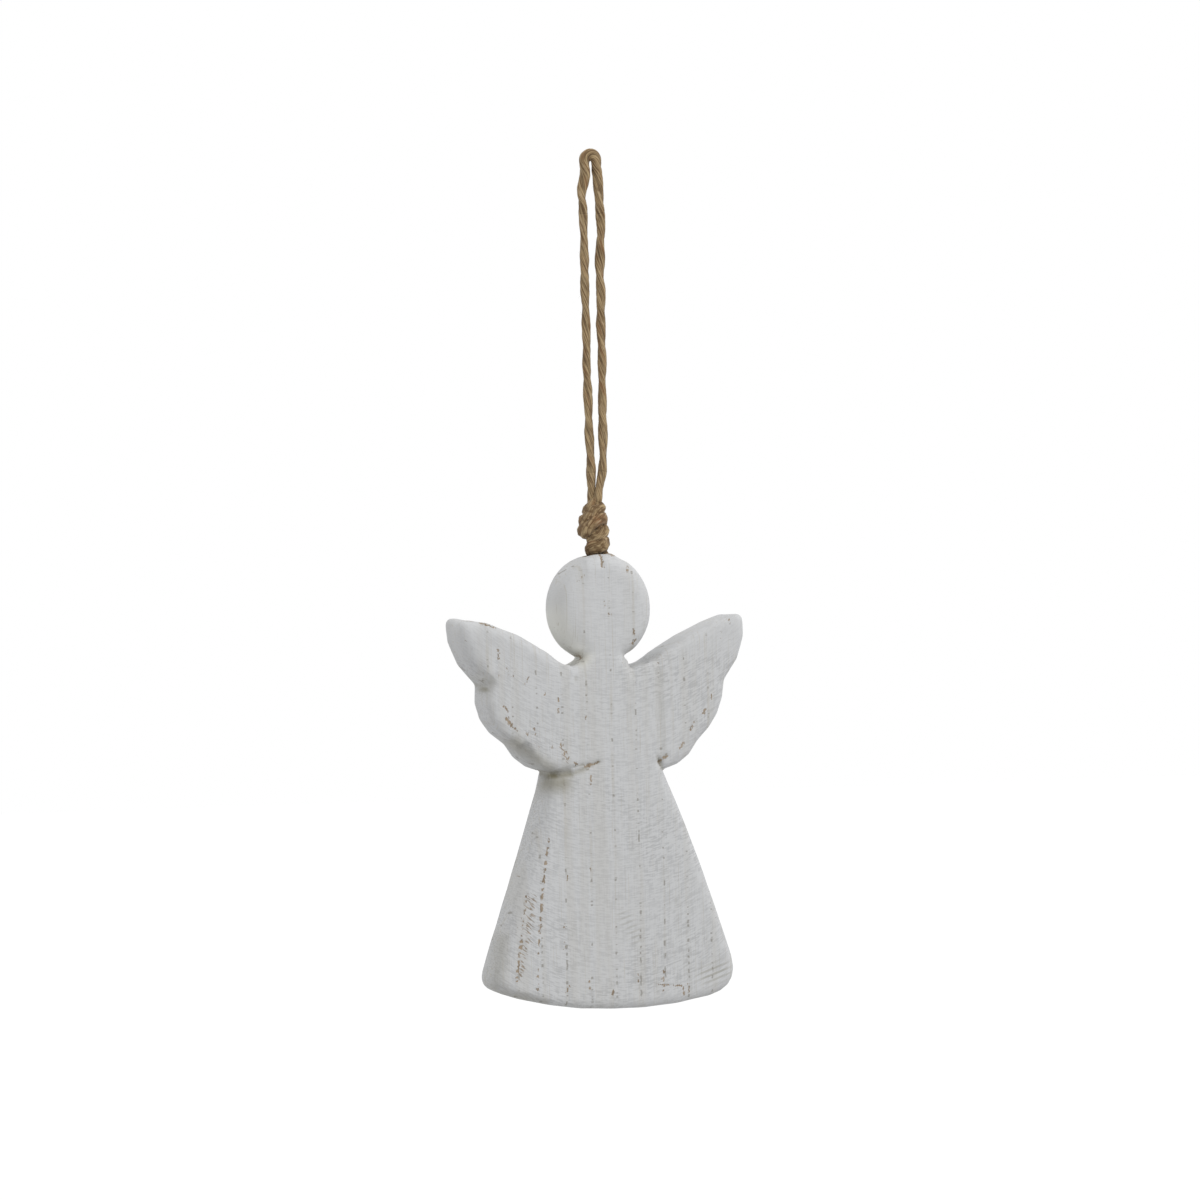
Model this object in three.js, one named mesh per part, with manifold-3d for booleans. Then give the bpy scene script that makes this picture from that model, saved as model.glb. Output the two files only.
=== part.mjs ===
// Hanging angel ornament: a figure sawn from one board, hung on a knotted loop of jute twine.
// Millimetres, +Z up, front towards -Y. The origin is where the hook carries the loop.

import * as THREE from 'three';
import { ConvexGeometry } from 'three/addons/geometries/ConvexGeometry.js';
import { mergeVertices } from 'three/addons/utils/BufferGeometryUtils.js';
import Module from 'manifold-3d';

const wasm = await Module();
wasm.setup();

// Board and head
const BOARD_THICKNESS = 18;
const EDGE_ROUND = 2.2;
const LEFT_SKIRT_EDGE_ROUND = 4.3;
const HEAD_WIDTH = 23.6;
const HEAD_HEIGHT = 26.2;
const HEAD_EDGE_ROUND = 3.6;
const NECK_REACH = 3.2;
const NECK_DROP = 22;
const NECK_EDGE_ROUND = 2.4;

// Outline of the figure: reaches from its middle line, and drops below the top of the head.
// The board is sawn by hand, so the two sides differ a little.
const FIGURE_X = -0.5;
const SHOULDER_REACH = 8.15;
const SHOULDER_DROP = 28.7;
const LEFT_WING_REACH = 36.9;
const RIGHT_WING_REACH = 34.6;
const LEFT_TIP_DROP = 14.2;
const RIGHT_TIP_DROP = 14.4;
const UPPER_NOTCH_REACH = 29.6;
const UPPER_NOTCH_DROP = 31.2;
const LOWER_NOTCH_REACH = 22.6;
const LOWER_NOTCH_DROP = 45.9;
const WAIST_REACH = 13.8;
const WAIST_DROP = 52.7;
const LEFT_SKIRT_REACH = 30.7;
const RIGHT_SKIRT_REACH = 32.2;
const LEFT_CORNER_DROP = 104.6;
const RIGHT_CORNER_DROP = 106;
const FIGURE_HEIGHT = 110.3;

// How far each curved edge stands out from the straight line between its ends
const LEFT_WING_BOW = 2.4;
const RIGHT_WING_BOW = 1.4;
const UPPER_LOBE_BOW = 2.1;
const LEFT_LOBE_BOW = 2.8;
const RIGHT_LOBE_BOW = 1.8;
const LOWER_LOBE_BOW = 1.4;
const LEFT_SKIRT_BOW = 0;
const RIGHT_SKIRT_BOW = 0.9;
const HEM_BOW = 1.4;
const WING_TIP_ROUND = 3;
const LEFT_CORNER_ROUND = 4;
const RIGHT_CORNER_ROUND = 8;

// How far each lower lobe of a wing runs up behind the lobe above it, and the chest into the skirt
const LOBE_OVERLAP = 6;
const CHEST_OVERLAP = 14;

// How finely round edges, corners and the head are stepped
const EDGE_STEPS = 4;
const CORNER_STEPS = 5;
const HEAD_STEPS = 40;

// How far leftward an edge of the skirt faces where its rounding starts to grow, and where it is full
const LEFT_FACING_FROM = 0.3;
const LEFT_FACING_FULL = 0.9;

// Chisel nicks where the wings meet the torso, on the front face
const LEFT_NICK_LENGTH = 12.5;
const LEFT_NICK_RISE = 14;
const LEFT_NICK_DEPTH = 2.2;
const RIGHT_NICK_LENGTH = 6;
const RIGHT_NICK_RISE = 62;
const RIGHT_NICK_DEPTH = 1.8;

// Hole for the two tails of the twine, and the glue in it
const BORE_DIAMETER = 5.5;
const BORE_DEPTH = 12;
const TAIL_DEPTH = 8.4;
const TAIL_SPACING = 2;
const GLUE_DEPTH = 8;
const HOLE_SIDES = 24;
const CLEARANCE = 0.3;

// Twine: loose in the loop, drawn thin by the knot
const LOOP_LENGTH = 84.3;
const CROSSING_LENGTH = 7.1;
const TWINE_DIAMETER = 2.1;
const DRAWN_DIAMETER = 1.8;
const CORD_SIDES = 8;

// Knot: turns of one strand round the other
const KNOT_LENGTH = 12.8;
const KNOT_AXIS_X = -1.2;
const KNOT_TURNS = 4;
const KNOT_LEAD = 1.2;
const KNOT_START_ANGLE = 230;
const KNOT_NECK_RADIUS = DRAWN_DIAMETER + CLEARANCE;
const KNOT_BELLY_RADIUS = 3.15;
const KNOT_WAIST_RADIUS = 2.35;
const KNOT_BELLY_PLACE = 0.42;
const KNOT_BELLY_SPREAD = 0.24;
const TURN_SIDES = 6;
const TURN_STEPS = 24;
const LEAST_TURN_GAP = 0.4;

const radians = THREE.MathUtils.degToRad;
const { lerp } = THREE.MathUtils;
const up = (x, z) => new THREE.Vector2(x, z);

// Heights along the twine, from the hook down
const legTop = -1.5;
const knotTop = -LOOP_LENGTH;
const crossingTop = knotTop + CROSSING_LENGTH;
const legFoot = crossingTop + CLEARANCE;
const headTop = knotTop - KNOT_LENGTH;
const tailEnd = headTop - TAIL_DEPTH;
const legZ = (share) => lerp(legTop, legFoot, share);

// Where the turning strand starts, and where the two tails go into the wood
const turnStartX = KNOT_AXIS_X + KNOT_NECK_RADIUS * Math.cos(radians(KNOT_START_ANGLE));
const turnStartY = KNOT_NECK_RADIUS * Math.sin(radians(KNOT_START_ANGLE));
const coreTailX = FIGURE_X - TAIL_SPACING / 2;
const turnTailX = FIGURE_X + TAIL_SPACING / 2;

// Routes of the twine: it is limp and uneven, so each leg wavers a little
const BIGHT_ROUTE = [
  [-1.7, 0, legTop + CLEARANCE], [-1.64, 0, -0.5], [-1.2, 0, 0.52], [0, 0, 1.05],
  [1.2, 0, 0.52], [1.64, 0, -0.5], [1.7, 0, legTop + CLEARANCE],
];
const LEFT_LEG_ROUTE = [
  [-1.7, 0, legTop], [-2.05, 0.1, legZ(0.13)], [-1.85, -0.15, legZ(0.31)], [-1.95, 0.1, legZ(0.51)],
  [-1.75, 0.15, legZ(0.71)], [-1.6, 0.1, legZ(0.87)], [-1.45, 0, legFoot],
];
const RIGHT_LEG_ROUTE = [
  [1.7, 0, legTop], [2.1, -0.1, legZ(0.13)], [1.95, 0.1, legZ(0.31)], [1.85, -0.1, legZ(0.51)],
  [1.8, -0.15, legZ(0.71)], [1.7, -0.1, legZ(0.87)], [1.35, 0, legFoot],
];
const LEFT_CROSSING_ROUTE = [
  [-1.45, 0, crossingTop], [-1.4, 0.3, crossingTop - 2.3], [-1.25, 0.3, knotTop + 2.3],
  [KNOT_AXIS_X, 0, knotTop + CLEARANCE],
];
const RIGHT_CROSSING_ROUTE = [
  [1.35, 0, crossingTop], [0.95, -0.85, crossingTop - 1.8], [-0.3, -1.8, knotTop + 3.7],
  [-1.75, -2.05, knotTop + 2.2], [turnStartX + 0.1, turnStartY - 0.1, knotTop + 1],
  [turnStartX, turnStartY, knotTop + CLEARANCE],
];
const CORE_ROUTE = [
  [KNOT_AXIS_X, 0, knotTop], [KNOT_AXIS_X, 0, knotTop - 3.7], [KNOT_AXIS_X, 0, headTop + 4.6],
  [coreTailX + 0.15, 0, headTop + 1.1], [coreTailX, 0, headTop - 1.4], [coreTailX, 0, tailEnd],
];
const TURNS_TAIL = [
  [turnTailX, 0, headTop - 1.5], [turnTailX, 0, headTop - 3.9], [turnTailX, 0, tailEnd],
];

// Joins and cuts

function toSolid(geometry) {
  const bare = geometry.clone();
  bare.deleteAttribute('normal');
  bare.deleteAttribute('uv');
  const merged = mergeVertices(bare, 1e-4);
  return new wasm.Manifold(new wasm.Mesh({
    numProp: 3,
    vertProperties: new Float32Array(merged.attributes.position.array),
    triVerts: new Uint32Array(merged.index.array),
  }));
}

function toGeometry(solid) {
  const mesh = solid.getMesh();
  const geometry = new THREE.BufferGeometry();
  geometry.setAttribute('position', new THREE.BufferAttribute(mesh.vertProperties, 3));
  geometry.setIndex(new THREE.BufferAttribute(mesh.triVerts, 1));
  geometry.computeVertexNormals();
  return geometry;
}

// The way a stretch of an outline faces, where the outline runs anticlockwise
function facing(from, to) {
  const along = to.clone().sub(from).normalize();
  return up(along.y, -along.x);
}

// An outline without hollows, moved inwards: each of its stretches shifts, and what is then outside goes
function insetOutline(points, distances) {
  let kept = points;
  points.forEach((from, i) => {
    const outward = facing(from, points[(i + 1) % points.length]);
    const depthOf = (point) => from.clone().sub(point).dot(outward) - distances[i];
    kept = kept.flatMap((point, j) => {
      const next = kept[(j + 1) % kept.length];
      const here = depthOf(point);
      const there = depthOf(next);
      const crossing = here * there < 0 ? [point.clone().lerp(next, here / (here - there))] : [];
      return here >= 0 ? [point, ...crossing] : crossing;
    });
  });
  return kept;
}

// How far an edge of this radius has drawn in at a depth below the board's face
function drawnIn(radius, depth) {
  const left = Math.max(radius - depth, 0);
  return radius - Math.sqrt(radius ** 2 - left ** 2);
}

// A slab of the board, rounded over along its edges by a radius that may follow the way each edge faces.
// The outline is in x and z and has no hollows.
function roundedSlab(points, radiusFor) {
  const outline = THREE.ShapeUtils.isClockWise(points) ? points.toReversed() : points;
  const radii = outline.map((from, i) => radiusFor(facing(from, outline[(i + 1) % outline.length])));
  const deepest = Math.max(...radii);
  const corners = [];
  for (let i = 0; i <= EDGE_STEPS; i += 1) {
    const depth = deepest * (1 - Math.sin((Math.PI / 2) * (i / EDGE_STEPS)));
    const half = BOARD_THICKNESS / 2 - depth;
    for (const { x, y } of insetOutline(outline, radii.map((radius) => drawnIn(radius, depth)))) {
      corners.push(new THREE.Vector3(x, -half, y), new THREE.Vector3(x, half, y));
    }
  }
  return toSolid(new ConvexGeometry(corners));
}

// A curved edge that stands out to the left of its run by the bow at its middle
function bowedEdge(from, to, bow, steps) {
  const run = to.clone().sub(from);
  const out = up(-run.y, run.x).normalize();
  const control = from.clone().lerp(to, 0.5).addScaledVector(out, 2 * bow);
  return new THREE.QuadraticBezierCurve(from, control, to).getPoints(steps);
}

// A corner rounded off: the curve that leaves one edge and joins the next
function roundedCorner(before, corner, after, round) {
  const start = corner.clone().add(before.clone().sub(corner).setLength(round));
  const end = corner.clone().add(after.clone().sub(corner).setLength(round));
  return new THREE.QuadraticBezierCurve(start, corner, end).getPoints(CORNER_STEPS);
}

// The point past the first of two, on the line from the second
function beyond(point, from, distance) {
  return point.clone().add(point.clone().sub(from).setLength(distance));
}

// Where things are, from the top of the head down
const headCentre = headTop - HEAD_HEIGHT / 2;
const shoulderZ = headTop - SHOULDER_DROP;
const waistZ = headTop - WAIST_DROP;
const hem = up(FIGURE_X, headTop - FIGURE_HEIGHT);

// The edges of one side, from the shoulder out round the wing and down to the hem
function sideEdges(sign, sizes) {
  const at = (reach, z) => up(FIGURE_X + sign * reach, z);
  const edge = (from, to, bow, steps) => bowedEdge(from, to, sign * bow, steps);
  const shoulder = at(SHOULDER_REACH, shoulderZ);
  const wingTip = at(sizes.wingReach, headTop - sizes.tipDrop);
  const upperNotch = at(UPPER_NOTCH_REACH, headTop - UPPER_NOTCH_DROP);
  const lowerNotch = at(LOWER_NOTCH_REACH, headTop - LOWER_NOTCH_DROP);
  const waist = at(WAIST_REACH, waistZ);
  const skirtCorner = at(sizes.skirtReach, headTop - sizes.cornerDrop);
  return {
    sign,
    shoulder,
    waist,
    cornerRound: sizes.cornerRound,
    wingTop: edge(shoulder, wingTip, sizes.wingBow, 4),
    upperLobe: edge(wingTip, upperNotch, UPPER_LOBE_BOW, 3),
    middleLobe: edge(upperNotch, lowerNotch, sizes.lobeBow, 4),
    lowerLobe: edge(lowerNotch, waist, LOWER_LOBE_BOW, 3),
    skirtSide: edge(waist, skirtCorner, sizes.skirtBow, 6),
    hemHalf: edge(skirtCorner, hem, HEM_BOW, 4),
  };
}

const left = sideEdges(-1, {
  wingReach: LEFT_WING_REACH,
  tipDrop: LEFT_TIP_DROP,
  wingBow: LEFT_WING_BOW,
  lobeBow: LEFT_LOBE_BOW,
  skirtReach: LEFT_SKIRT_REACH,
  cornerDrop: LEFT_CORNER_DROP,
  cornerRound: LEFT_CORNER_ROUND,
  skirtBow: LEFT_SKIRT_BOW,
});
const right = sideEdges(1, {
  wingReach: RIGHT_WING_REACH,
  tipDrop: RIGHT_TIP_DROP,
  wingBow: RIGHT_WING_BOW,
  lobeBow: RIGHT_LOBE_BOW,
  skirtReach: RIGHT_SKIRT_REACH,
  cornerDrop: RIGHT_CORNER_DROP,
  cornerRound: RIGHT_CORNER_ROUND,
  skirtBow: RIGHT_SKIRT_BOW,
});

// One lobe of a wing: its free edge, closed along the middle of the torso below the line of the wing's top
function lobe(side, freeEdge) {
  const [shoulder, next] = side.wingTop;
  const fall = SHOULDER_REACH * Math.abs((next.y - shoulder.y) / (next.x - shoulder.x));
  return [...freeEdge, up(FIGURE_X, waistZ - EDGE_ROUND), up(FIGURE_X, shoulderZ - fall)];
}

// A lower lobe's free edge starts behind the lobe above it
function tuckedUnder(side, edge) {
  const tuck = edge[0].clone().add(up(-side.sign * LOBE_OVERLAP / 2, LOBE_OVERLAP));
  return [side.shoulder, tuck, ...edge];
}

function makeWing(side) {
  const { wingTop, upperLobe } = side;
  const tip = roundedCorner(wingTop.at(-2), upperLobe[0], upperLobe[1], WING_TIP_ROUND);
  const freeEdges = [
    [...wingTop.slice(0, -1), ...tip, ...upperLobe.slice(1)],
    tuckedUnder(side, side.middleLobe),
    tuckedUnder(side, side.lowerLobe),
  ];
  const slabs = freeEdges.map((edge) => roundedSlab(lobe(side, edge), () => EDGE_ROUND));
  return slabs.reduce((joined, slab) => joined.add(slab));
}

// The chest runs down into the skirt and the skirt up into the chest, so they join flush
function makeChest() {
  const [rightFoot, leftFoot] = [right, left].map(
    ({ waist, shoulder }) => beyond(waist, shoulder, CHEST_OVERLAP));
  return roundedSlab([right.shoulder, rightFoot, leftFoot, left.shoulder], () => EDGE_ROUND);
}

function skirtHalf({ waist, skirtSide, hemHalf, cornerRound }) {
  const corner = roundedCorner(skirtSide.at(-2), hemHalf[0], hemHalf[1], cornerRound);
  const inChest = beyond(waist, skirtSide[1], CHEST_OVERLAP);
  return [inChest, ...skirtSide.slice(0, -1), ...corner, ...hemHalf.slice(1)];
}

// The skirt's left side is rounded over more than its right side and its hem
function skirtEdgeRound(outward) {
  const leftward = THREE.MathUtils.smoothstep(-outward.x, LEFT_FACING_FROM, LEFT_FACING_FULL);
  return lerp(EDGE_ROUND, LEFT_SKIRT_EDGE_ROUND, leftward);
}

function makeSkirt() {
  const outline = [...skirtHalf(right), ...skirtHalf(left).slice(0, -1).reverse()];
  return roundedSlab(outline, skirtEdgeRound);
}

function makeHead() {
  const ellipse = new THREE.EllipseCurve(FIGURE_X, headCentre, HEAD_WIDTH / 2, HEAD_HEIGHT / 2);
  return roundedSlab(ellipse.getPoints(HEAD_STEPS).slice(0, -1), () => HEAD_EDGE_ROUND);
}

function makeNeck() {
  const neckTop = headTop - NECK_DROP;
  const outline = [
    up(FIGURE_X + NECK_REACH, neckTop), right.shoulder, up(right.shoulder.x, waistZ),
    up(left.shoulder.x, waistZ), left.shoulder, up(FIGURE_X - NECK_REACH, neckTop),
  ];
  return roundedSlab(outline, () => NECK_EDGE_ROUND);
}

// A chisel nick is a V cut that starts deep at the waist and runs out on the front face
function makeNick(side, length, rise, depth) {
  const reach = length + EDGE_ROUND;
  const cut = new THREE.ConeGeometry(depth, reach, 4);
  cut.translate(0, reach / 2 - EDGE_ROUND, 0);
  cut.rotateZ(side.sign * radians(90 - rise));
  cut.rotateX(Math.PI / 2);
  cut.translate(side.waist.x, -BOARD_THICKNESS / 2, side.waist.y);
  return toSolid(cut);
}

function makeBore() {
  const bore = new THREE.CylinderGeometry(
    BORE_DIAMETER / 2, BORE_DIAMETER / 2, 2 * BORE_DEPTH, HOLE_SIDES);
  bore.rotateX(Math.PI / 2);
  bore.translate(FIGURE_X, 0, headTop);
  return toSolid(bore);
}

function makeAngelBody() {
  const nicks = [
    makeNick(left, LEFT_NICK_LENGTH, LEFT_NICK_RISE, LEFT_NICK_DEPTH),
    makeNick(right, RIGHT_NICK_LENGTH, RIGHT_NICK_RISE, RIGHT_NICK_DEPTH),
  ];
  const joined = [makeChest(), makeSkirt(), makeWing(left), makeWing(right), makeNeck()]
    .reduce((whole, piece) => whole.add(piece), makeHead());
  const cut = [...nicks, makeBore()].reduce((whole, piece) => whole.subtract(piece), joined);
  return toGeometry(cut);
}

// Twine

const routeCurve = (points) => new THREE.CatmullRomCurve3(
  points.map((point) => new THREE.Vector3(...point)), false, 'centripetal');

function sectionShape(diameter, sides) {
  const section = new THREE.Shape();
  section.absarc(0, 0, diameter / 2, 0, 2 * Math.PI);
  return new THREE.Shape(section.getPoints(sides).slice(0, -1));
}

function cord(points, diameter, steps, sides = CORD_SIDES) {
  return new THREE.ExtrudeGeometry(sectionShape(diameter, sides), {
    steps,
    extrudePath: routeCurve(points),
    bevelEnabled: false,
  });
}

// The turning strand: round the core from the top of the knot down, then into the hole
function knotRadius(share) {
  const belly = Math.exp(-(((share - KNOT_BELLY_PLACE) / KNOT_BELLY_SPREAD) ** 2));
  const base = lerp(KNOT_NECK_RADIUS, KNOT_WAIST_RADIUS, share);
  return base + (KNOT_BELLY_RADIUS - base) * belly;
}

function knotRoute() {
  const highest = knotTop - KNOT_LEAD;
  const lowest = headTop + DRAWN_DIAMETER / 2 + CLEARANCE;
  const sweep = KNOT_START_ANGLE + 360 * KNOT_TURNS;
  const count = Math.round((sweep / 360) * TURN_STEPS);
  const route = [];
  for (let i = 0; i <= count; i += 1) {
    const share = i / count;
    const angle = radians(KNOT_START_ANGLE - sweep * share);
    const radius = knotRadius(share);
    const z = lerp(highest, lowest, share);
    route.push([KNOT_AXIS_X + radius * Math.cos(angle), radius * Math.sin(angle), z]);
  }
  const [leadX, leadY] = route[0];
  return [[leadX, leadY, knotTop], ...route, ...TURNS_TAIL];
}

// Least clear distance between stretches of a tube that are more than half a turn apart
function leastGapToItself(route, diameter) {
  let least = Infinity;
  for (let i = 0; i < route.length; i += 1) {
    for (let j = i + TURN_STEPS / 2; j < route.length; j += 1) {
      const apart = Math.hypot(...route[i].map((value, axis) => value - route[j][axis]));
      least = Math.min(least, apart - diameter);
    }
  }
  return least;
}

function makeKnotTurns() {
  const route = knotRoute();
  const gap = leastGapToItself(route, DRAWN_DIAMETER);
  console.log(`knot_turns: least gap to itself ${gap.toFixed(2)} mm, over ${LEAST_TURN_GAP} mm wanted`);
  return cord(route, DRAWN_DIAMETER, route.length - 1, TURN_SIDES);
}

// Glue fills the foot of the hole round the two tails
function makeGluePlug() {
  const radius = BORE_DIAMETER / 2 - CLEARANCE;
  const floor = headTop - BORE_DEPTH + CLEARANCE;
  const plug = new THREE.CylinderGeometry(radius, radius, GLUE_DEPTH, HOLE_SIDES);
  plug.rotateX(Math.PI / 2);
  plug.translate(FIGURE_X, 0, floor + GLUE_DEPTH / 2);
  let solid = toSolid(plug);
  for (const tail of [CORE_ROUTE, TURNS_TAIL]) {
    const [x, y, end] = tail.at(-1);
    const deep = end - CLEARANCE;
    const high = headTop - deep;
    const hole = new THREE.CylinderGeometry(
      DRAWN_DIAMETER / 2 + CLEARANCE, DRAWN_DIAMETER / 2 + CLEARANCE, high, HOLE_SIDES);
    hole.rotateX(Math.PI / 2);
    hole.translate(x, y, deep + high / 2);
    solid = solid.subtract(toSolid(hole));
  }
  return toGeometry(solid);
}

// Assembly

const paintedWood = new THREE.MeshStandardMaterial({ color: 0xd3d4d5, roughness: 0.75, metalness: 0 });
const juteTwine = new THREE.MeshStandardMaterial({ color: 0x97805f, roughness: 0.95, metalness: 0 });
const setGlue = new THREE.MeshStandardMaterial({ color: 0xd9c79a, roughness: 0.4, metalness: 0 });

const ornament = new THREE.Group();

function addPiece(name, geometry, material) {
  const piece = new THREE.Mesh(geometry, material);
  piece.name = name;
  ornament.add(piece);
}

addPiece('angel_body', makeAngelBody(), paintedWood);
addPiece('glue_plug', makeGluePlug(), setGlue);
addPiece('knot_core_strand', cord(CORE_ROUTE, DRAWN_DIAMETER, 10), juteTwine);
addPiece('knot_turns', makeKnotTurns(), juteTwine);
addPiece('twine_crossing_left', cord(LEFT_CROSSING_ROUTE, DRAWN_DIAMETER, 6), juteTwine);
addPiece('twine_crossing_right', cord(RIGHT_CROSSING_ROUTE, DRAWN_DIAMETER, 8), juteTwine);
addPiece('twine_leg_left', cord(LEFT_LEG_ROUTE, TWINE_DIAMETER, 16), juteTwine);
addPiece('twine_leg_right', cord(RIGHT_LEG_ROUTE, TWINE_DIAMETER, 16), juteTwine);
addPiece('twine_bight', cord(BIGHT_ROUTE, TWINE_DIAMETER, 14), juteTwine);

export default ornament;
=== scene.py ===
"""Looks of a hanging angel ornament: a figure sawn from a board, painted white and worn, on jute twine."""

import math
from functools import partial
import bmesh
import bpy
import numpy as np
from bpy.props import FloatProperty, FloatVectorProperty, IntProperty, PointerProperty
from mathutils import Matrix, Quaternion, Vector, noise


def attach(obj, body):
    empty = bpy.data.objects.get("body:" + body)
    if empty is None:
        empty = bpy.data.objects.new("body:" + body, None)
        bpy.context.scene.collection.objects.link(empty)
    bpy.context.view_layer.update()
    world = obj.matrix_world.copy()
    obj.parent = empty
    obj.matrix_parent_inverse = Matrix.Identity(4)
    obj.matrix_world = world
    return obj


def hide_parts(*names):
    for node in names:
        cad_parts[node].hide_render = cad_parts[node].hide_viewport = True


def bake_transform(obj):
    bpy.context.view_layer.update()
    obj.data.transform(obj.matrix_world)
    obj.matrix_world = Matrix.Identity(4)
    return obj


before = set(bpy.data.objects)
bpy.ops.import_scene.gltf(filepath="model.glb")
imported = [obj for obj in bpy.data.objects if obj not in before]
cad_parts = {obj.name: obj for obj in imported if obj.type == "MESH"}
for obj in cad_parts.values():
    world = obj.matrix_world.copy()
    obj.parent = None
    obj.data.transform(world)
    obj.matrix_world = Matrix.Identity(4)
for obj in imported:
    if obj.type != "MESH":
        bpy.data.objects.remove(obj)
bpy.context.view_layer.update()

bl_info = {
    "name": "Hanging angel ornament",
    "version": (1, 0, 0),
    "blender": (4, 5, 0),
    "location": "View3D > Sidebar > Ornament",
    "description": "Dresses the packed angel in worn white paint and jute twine",
    "category": "Object",
}

MM = 0.001


def linear(code):
    """Linear RGBA of an sRGB hex colour."""
    parts = [int(code[i : i + 2], 16) / 255 for i in (0, 2, 4)]
    return (*((c / 12.92 if c <= 0.04045 else ((c + 0.055) / 1.055) ** 2.4) for c in parts), 1.0)


def mm(*sizes):
    """Millimetres as metres."""
    return tuple(size * MM for size in sizes)


def ramp(value, start, end):
    """0 at the start, 1 at the end and straight between, for a number or an array."""
    return np.clip((value - start) / (end - start), 0, 1)


def bell(*shares):
    """1 in the middle and less all round. Each share is a distance over its half width."""
    return np.exp(-sum(share**2 for share in shares))


def size_of(name, words, millimetres):
    return FloatProperty(name=name, description=words, default=millimetres * MM, unit="LENGTH", precision=5)


def angle_of(name, words, degrees):
    return FloatProperty(name=name, description=words, default=math.radians(degrees), subtype="ANGLE")


def colour_of(name, words, code):
    return FloatVectorProperty(
        name=name, description=words, size=4, subtype="COLOR", min=0, max=1, default=linear(code)
    )


class WoodSettings(bpy.types.PropertyGroup):
    """Board, its paint and its wear."""

    skin: size_of("Skin", "Spacing of the carved surface's points", 0.45)
    unevenness: size_of("Unevenness", "Depth of the waves that hand sanding left", 0.14)
    valley: size_of("Valley", "How far the knife went in between the lobes", 0.5)
    arris: size_of("Arris", "How far the edges stand out from a full round", 0.06)
    ring_spacing: size_of("Ring spacing", "Distance between the grain lines on the face", 6.05)
    paint: colour_of("Paint", "White paint", "D1D2D3")
    # Painted light: a paler tone that stands in for light on the head's and neck's left sides
    fresh: colour_of("Painted light", "A paler tone painted in for light on the head's and neck's left sides", "E6E6E0")
    paint_low: colour_of("Paint in the tooth", "Paint in the hollows of saw and brush marks", "BCBDBE")
    grain: colour_of("Grain", "Grain lines that show through thin paint", "BCB7AB")
    speck: colour_of("Speck", "Pores of the grain that the paint did not fill", "8B877F")
    # Painted shade as well as grime: this olive tone darkens the hollows, the shadow under the left wing,
    # and sides that turn down and to the left
    soil: colour_of("Soil and shade", "Grime, and painted shade in the hollows and under the left wing", "88836F")
    raw_light: colour_of("Raw wood", "Bare wood where the paint is gone", "A89680")
    raw_dark: colour_of("Raw wood, dark", "Stained bare wood", "857560")


class TwineSettings(bpy.types.PropertyGroup):
    """Two-ply jute twine."""

    diameter: size_of("Diameter", "Over both plies", 2.1)
    lay: size_of("Lay", "Length of one full turn of the plies", 17.5)
    hairs: IntProperty(name="Hairs", description="Loose fibres on a 10 mm stretch", default=6, min=0)
    fibre: colour_of("Fibre", "Clean jute", "B69E77")
    fibre_dark: colour_of("Dark fibre", "Shaded and soiled jute", "6C5437")
    fibre_pale: colour_of("Pale fibre", "Bleached ends of fibre", "C2AD8B")
    rust: colour_of("Rust", "Reddish stretches of the fibre", "835632")
    shade: colour_of("Shade", "Fibre between the plies", "453421")


class StageSettings(bpy.types.PropertyGroup):
    """Camera and light."""

    distance: size_of("Camera distance", "From the middle of the picture", 1000)
    width: size_of("Picture width", "Width of the picture at the ornament", 292.8)
    middle: size_of("Picture middle", "Height of the middle of the picture", -108.25)
    aside: size_of("Picture aside", "How far right of the hook the middle of the picture is", 0.16)
    azimuth: angle_of("Azimuth", "Camera's turn to the viewer's left", -13.3)
    roll: angle_of("Roll", "Tilt of the camera about its view", -1.2)
    floor: size_of("Floor", "Height of the floor", -450)


TIMES = {"operation": "MULTIPLY"}
TIMES_PLUS = {"operation": "MULTIPLY_ADD"}
LARGER = {"operation": "MAXIMUM"}
SOFT_STEP = {"interpolation_type": "SMOOTHSTEP"}
BY_SIZE = {"vector_type": "TEXTURE"}
OF_COLOURS = {"data_type": "RGBA"}

# Bow of the saw's arcs across the board, as a height for each square metre aside
SAW_BOW = 12.0
# Heights in millimetres between which the saw's marks fade out, because the head is sanded finer
NECK_LOW, NECK_HIGH = -124.0, -120.0
SCRATCH_SLANT = math.radians(-50)
# Layers of the points that the two materials read
BOARD_MARKS = ("wear", "scratches", "scars", "soil", "fresh")
TWINE_MARKS = ("groove", "tight", "rust")


def add_node(tree, kind, settings=None, *values, **inputs):
    """Adds a shader node. Inputs come in order or by name, and a node or socket is linked."""
    made = tree.nodes.new("ShaderNode" + kind)
    for name, value in (settings or {}).items():
        setattr(made, name, value)
    usable = [socket for socket in made.inputs if socket.enabled]
    named = {socket.name: socket for socket in reversed(usable)}
    by_name = ((named[key.replace("_", " ")], value) for key, value in inputs.items())
    for socket, value in [*zip(usable, values), *by_name]:
        if isinstance(value, bpy.types.Node):
            value = next(out for out in value.outputs if out.enabled)
        if isinstance(value, bpy.types.NodeSocket):
            tree.links.new(value, socket)
        else:
            socket.default_value = value
    return made


def new_material(name):
    material = bpy.data.materials.new(name)
    material.use_nodes = True
    material.node_tree.nodes.clear()
    return material, material.node_tree


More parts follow.
